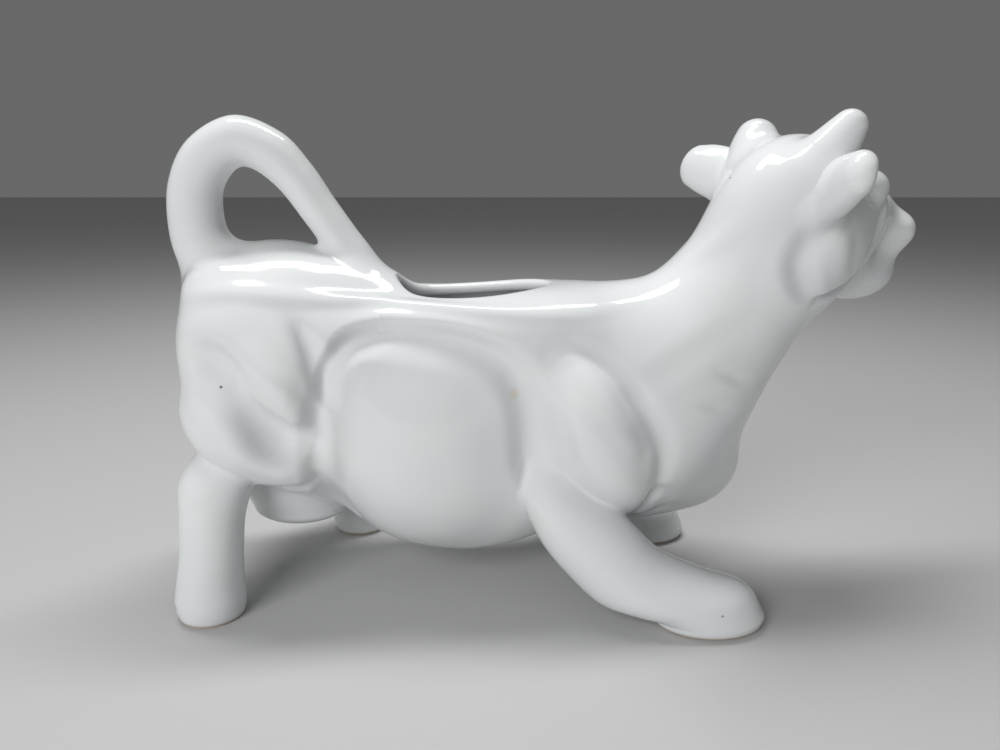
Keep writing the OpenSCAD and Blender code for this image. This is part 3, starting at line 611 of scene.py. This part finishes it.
def lute(limb, turns, width, root=0.0, tip=1.0, steps=13):
    """Rows of a luted joint from the limb out onto the hide, then a sunk end that follows the hide.

    Across the fillet the hide is a away and the limb, swollen, b away, where melt(a, b) = 0."""
    lean = np.linspace(1, -1, steps)
    low = width * (1 - np.abs(lean)) ** 2 / 4
    a = np.repeat(low + width * np.maximum(lean, 0), len(turns)).reshape(steps, -1)
    b = np.repeat(low + width * np.maximum(-lean, 0), len(turns)).reshape(steps, -1)
    a[-1] -= tuck
    turn = np.broadcast_to(turns, a.shape)

    def fillet_point(s):
        """Point of each row of the fillet where the limb is cut at share s."""
        s = np.broadcast_to(s, np.broadcast_shapes(s.shape, a.shape))
        return ring_point(limb, s, turn, b)

    share = np.array([0.98, 0.8, 0.6, 0.4, 0.2])[:, None]
    level = np.full((len(share), len(turns)), -sink)

    def sunk_point(s):
        """Point of each row of the sunk end at share s, drawn in toward the limb's middle."""
        s = np.broadcast_to(s, np.broadcast_shapes(s.shape, level.shape))
        middle = curve(limb, s)[..., :3]
        edge = ring_point(limb, s, turns, width)
        return middle + share[..., None] * (edge - middle)

    s = settle(fillet_point, a, tip, root)
    end = sunk_point(settle(sunk_point, level, tip, root))
    return s[0], fillet_point(s), end, end[-1].mean(0)


def limb_piece(name, grid, first_pole, last_pole, joints, material):
    """The mesh of a luted limb, a pole at each end; at a joint's row its shading follows the hide."""
    rows, cols = grid.shape[:2]
    points = np.concatenate([grid.reshape(-1, 3), [first_pole, last_pole]])
    j = np.arange(cols)
    k = (j + 1) % cols
    first = np.stack([np.full(cols, rows * cols), k, j], -1).tolist()
    last = np.stack([np.full(cols, rows * cols + 1), (rows - 1) * cols + j, (rows - 1) * cols + k], -1)
    faces = quads(rows, cols) + first + last.tolist()
    normals = np.zeros_like(points)
    for row in joints:
        here = slice(row * cols, (row + 1) * cols)
        normals[here] = slope(hide_gap, points[here])
    mesh_piece(name + "_glazed", points, faces, material, [name], normals)


across = np.array([0.0, 1, 0])
ring_turns = 2 * np.pi * np.arange(72) / 72
tail = round_limb(tail_rows, across)
front_s, front_fillet, front_end, front_hub = lute(tail, ring_turns, 3, 1.0, 0.5)
rear_s, rear_fillet, rear_end, rear_hub = lute(tail, ring_turns, 6, 0.0, 0.5)
tube_rows = 110
mix = np.arange(1, tube_rows)[:, None] / tube_rows
tube = ring_point(tail, rear_s * (1 - mix) + front_s * mix, ring_turns)
tail_grid = np.concatenate([rear_end[::-1], rear_fillet[::-1], tube, front_fillet, front_end])
limb_piece("tail_handle", tail_grid, rear_hub, front_hub,
           [len(rear_end), len(tail_grid) - len(front_end) - 1], glaze)


# Udder: a solid ball of clay thumbed to an oval bag, glazed all over, and luted under the groin
# with a soft fillet. Each ring: shares of the reach and the side, height, lean, half length and
# half width (mm).
def leg_limb(table, root, reach_x, side):
    """Rings of a leg: middle, then half axes along the leaning plane and across it."""
    t = np.array(table, float)
    lean = np.radians(t[:, 3])
    zero = np.zeros(len(t))
    middle = np.stack([root + reach_x * t[:, 0], side * t[:, 1], t[:, 2]], -1)
    high = np.stack([np.sin(lean), zero, np.cos(lean)], -1) * t[:, 4:5]
    return np.concatenate([middle, high, across * t[:, 5:]], 1)


nub_rows, nub_end = 10, 84
udder_rings = [(0, 0, 48, 90, 13, 9), (0, 0, 36, 90, 15.5, 12), (0, 0, 28, 90, 16, 12.5),
               (0, 0, 21, 90, 13.5, 10.5)]
udder = leg_limb(udder_rings, -71, 0, 0)
udder_s, fillet, end, hub = lute(udder, ring_turns, 3)
bag_rows, bag_round = 22, 5
bag = ring_point(udder, 1 + (udder_s - 1) * np.arange(bag_rows)[:, None] / bag_rows, ring_turns)
angles = np.radians(np.linspace(0, nub_end, nub_rows))[1:, None, None]
low = udder[-1, :3]
down = np.array([0, 0, bag_round])
nub = low + np.cos(angles) * (bag[0] - low) - np.sin(angles) * down
udder_grid = np.concatenate([nub[::-1], bag, fillet, end])
limb_piece("udder", udder_grid, low - down, hub, [len(udder_grid) - len(end) - 1], glaze)


# Legs: solid rolls of clay pinched to shape, luted to the shell; each sole is wiped free of glaze.
# Each ring: shares of the reach and the side, height, lean, half length and half width (mm).
glazed_leg = porcelain("glazed_leg")
fore_rings = [(-0.1, 0.3, 46, 80, 8, 7), (-0.06, 0.46, 39, 80, 8.5, 8),
              (-0.02, 0.62, 32, 78, 8.8, 9.4), (0.085, 0.72, 24.5, 60, 10.5, 10.2),
              (0.21, 0.83, 17.5, 46, 10.6, 10), (0.34, 0.92, 11.8, 50, 10.4, 9.5),
              (0.51, 0.98, 8.6, 62, 11.4, 9.3), (0.65, 1, 6.4, 73, 13.6, 9.3),
              (0.72, 1, 2.6, 88, 14, 9.3)]
hind_rings = [(-0.35, 0.3, 62, 90, 9, 9), (-0.1, 0.45, 52.5, 90, 9, 8.5),
              (0.3, 0.6, 44.5, 90, 9.5, 9), (0.7, 0.8, 36.5, 90, 9.6, 9.3),
              (0.83, 0.92, 28, 90, 8.2, 8.6), (0.88, 1, 18, 90, 7.8, 8.1),
              (0.97, 1, 10, 90, 8.4, 8.3), (1, 1, 5.4, 90, 8.9, 8.6)]
leg_stance = {
    "right_foreleg": (fore_rings, 0, 53, -27.8), "left_foreleg": (fore_rings, 0, 40, 22),
    "right_hind_leg": (hind_rings, -78, -12, -23.5), "left_hind_leg": (hind_rings, -78, 18, 28),
}
leg_turns = 2 * np.pi * np.arange(96) / 96
shank_rows, edge_rows = 64, 10
# How much a foot draws in under its edge, and the sole's rows as shares of its outline.
foot_draw, sole_shares = 0.14, np.array([0.92, 0.7, 0.4])
for name, stance in leg_stance.items():
    leg = leg_limb(*stance)
    top_s, fillet, end, hub = lute(leg, leg_turns, 1.6)
    shank = ring_point(leg, 1 + (top_s - 1) * np.arange(shank_rows)[:, None] / shank_rows, leg_turns)
    under = leg[-1, :3] * np.array([1, 1, 0])
    angles = np.radians(np.linspace(0, 90, edge_rows))[1:, None, None]
    drawn_in = 1 - foot_draw * (1 - np.cos(angles))
    foot = under + (shank[0] - under) * np.concatenate([drawn_in, drawn_in, 1 - np.sin(angles)], -1)
    sole = under + (foot[-1] - under) * sole_shares[:, None, None]
    grid = np.concatenate([sole[::-1], foot[::-1], shank, fillet, end])
    limb_piece(name, grid, under, hub, [len(grid) - len(end) - 1], glazed_leg)


# Ears and horns: rolls of clay rounded at the tip, the ears pressed hollow with a thumb, glazed and
# luted to the head in pairs. Each ring: ahead, left and up from the middle of the skull, then half
# thickness and half width (mm).
near_ear = [(-1, 2, 1, 6, 8.5), (-3.8, 11, 4.6, 5.4, 8.2), (-5.4, 17, 7, 5, 7.6),
            (-7, 22, 9.2, 4.6, 6.6), (-8.4, 26.2, 11, 4, 5.4)]
far_ear = [(-1, 2, 3, 6, 8.5), (-3.8, 11, 7.4, 5.2, 7.6), (-5.6, 17, 9.8, 4.8, 7.4),
           (-7.6, 22.5, 11.8, 4.2, 6.8), (-9, 26, 12.8, 3.6, 5.8)]
near_horn = [(-7, 1.5, 0, 5, 5), (-5, 10, 9.6, 7.4, 7.4), (-2.6, 12, 14.4, 6.6, 6.6),
             (-0.4, 13.7, 18.4, 5.3, 5.1), (1.6, 15.1, 21.8, 4, 3.8)]
far_horn = [(-6.5, 1.5, 0, 5, 5), (-4.4, 9.6, 10, 7.6, 7.4), (-2.4, 11, 14.6, 7, 6.8),
            (-0.8, 12.2, 17.8, 6.2, 6), (0.4, 13, 20, 5.4, 5.2)]
skull_rolls = {
    "right_ear": (near_ear, -1, crown - 2 * ahead, 1.6),
    "left_ear": (far_ear, 1, crown - 2 * ahead, 1.6),
    "right_horn": (near_horn, -1, ahead, 0),
    "left_horn": (far_horn, 1, ahead, 0),
}
roll_rows, tip_rows = 60, 18
for name, (rings, side, thin_way, dish) in skull_rolls.items():
    t = np.array(rings, float)
    line = skull_middle + (t[:, :3] * np.array([1, side, 1])) @ head_axes
    along = unit(np.gradient(line, axis=0))
    thin = unit(thin_way - (along @ thin_way)[:, None] * along)
    wide = np.cross(along, thin)
    limb = np.concatenate([line, thin * t[:, 3:4], wide * t[:, 4:5]], 1)
    root_s, fillet, end, hub = lute(limb, ring_turns, 4)
    share = np.arange(roll_rows)[:, None] / roll_rows
    roll = ring_point(limb, 1 + (root_s - 1) * share, ring_turns)
    thick = t[-2:, 3:].mean(1)
    lean = np.arctan2(thick[0] - thick[1], np.linalg.norm(line[-1] - line[-2]))
    angles = np.linspace(lean, np.radians(85), tip_rows)[1:, None, None]
    ball = along[-1] * thick[1] / np.cos(lean)
    drawn_in = np.cos(angles) / np.cos(lean) * (roll[0] - line[-1])
    tip = line[-1] + drawn_in + (np.sin(angles) - np.sin(lean)) * ball
    roll = np.concatenate([tip[::-1], roll])
    out = unit(roll - roll.mean(1, keepdims=True)) @ thin[-1]
    along_roll = np.sin(np.pi * np.linspace(0, 1, len(roll)) ** 0.7)[:, None]
    depth = dish * np.maximum(-out, 0) ** 2 * along_roll ** 2
    grid = np.concatenate([roll + depth[..., None] * thin[-1], fillet, end])
    apex = line[-1] + (1 - np.sin(lean)) * ball
    limb_piece(name, grid, apex, hub, [len(grid) - len(end) - 1], glaze)


# Table, lamps and camera: a plain pale floor, a strip of light over the back, a broad soft fill
# from the near side and a grey surround, seen from the photograph's own place and angle.
floor_mesh = bpy.data.meshes.new("floor")
floor_mesh.from_pydata([(-3, -3, 0), (3, -3, 0), (3, 3, 0), (-3, 3, 0)], [], [(0, 1, 2, 3)])
floor = bpy.data.objects.new("floor", floor_mesh)
bpy.context.scene.collection.objects.link(floor)
paper = bpy.data.materials.new("pale_floor")
paper.use_nodes = True
paper.node_tree.nodes["Principled BSDF"].inputs["Base Color"].default_value = (0.55, 0.55, 0.55, 1)
paper.node_tree.nodes["Principled BSDF"].inputs["Roughness"].default_value = 0.8
floor_mesh.materials.append(paper)


def softbox(name, at, aim, size, power, glints):
    """An area lamp of a size (width, height) at a place, aimed at another, in metres and watts.

    A fill leaves no glints."""
    lamp = bpy.data.lights.new(name, "AREA")
    lamp.shape = "RECTANGLE"
    lamp.size, lamp.size_y = size
    lamp.energy = power
    holder = bpy.data.objects.new(name, lamp)
    bpy.context.scene.collection.objects.link(holder)
    holder.location = at
    holder.rotation_mode = "QUATERNION"
    holder.visible_glossy = glints
    holder.rotation_quaternion = (holder.location - type(holder.location)(aim)).to_track_quat("Z", "Y")


softbox("top_softbox", (-0.03, 0.12, 0.62), (0, 0, 0.06), (0.5, 0.11), 2.6, True)
softbox("front_softbox", (-0.36, -0.6, 0.38), (0, 0, 0.06), (0.42, 0.42), 3.4, False)
world = bpy.data.worlds.new("studio")
world.use_nodes = True
world.node_tree.nodes["Background"].inputs["Color"].default_value = (0.5, 0.5, 0.5, 1)
world.node_tree.nodes["Background"].inputs["Strength"].default_value = 0.28
bpy.context.scene.world = world
camera = bpy.data.cameras.new("photo_camera")
camera.lens, camera.sensor_width, camera.clip_start = 27.72, 36, 0.005
holder = bpy.data.objects.new("photo_camera", camera)
bpy.context.scene.collection.objects.link(holder)
holder.location = (-0.015, -0.202, 0.112)
holder.rotation_euler = (np.radians(75), 0, 0)
bpy.context.scene.camera = holder
bpy.context.scene.view_settings.view_transform = "Standard"
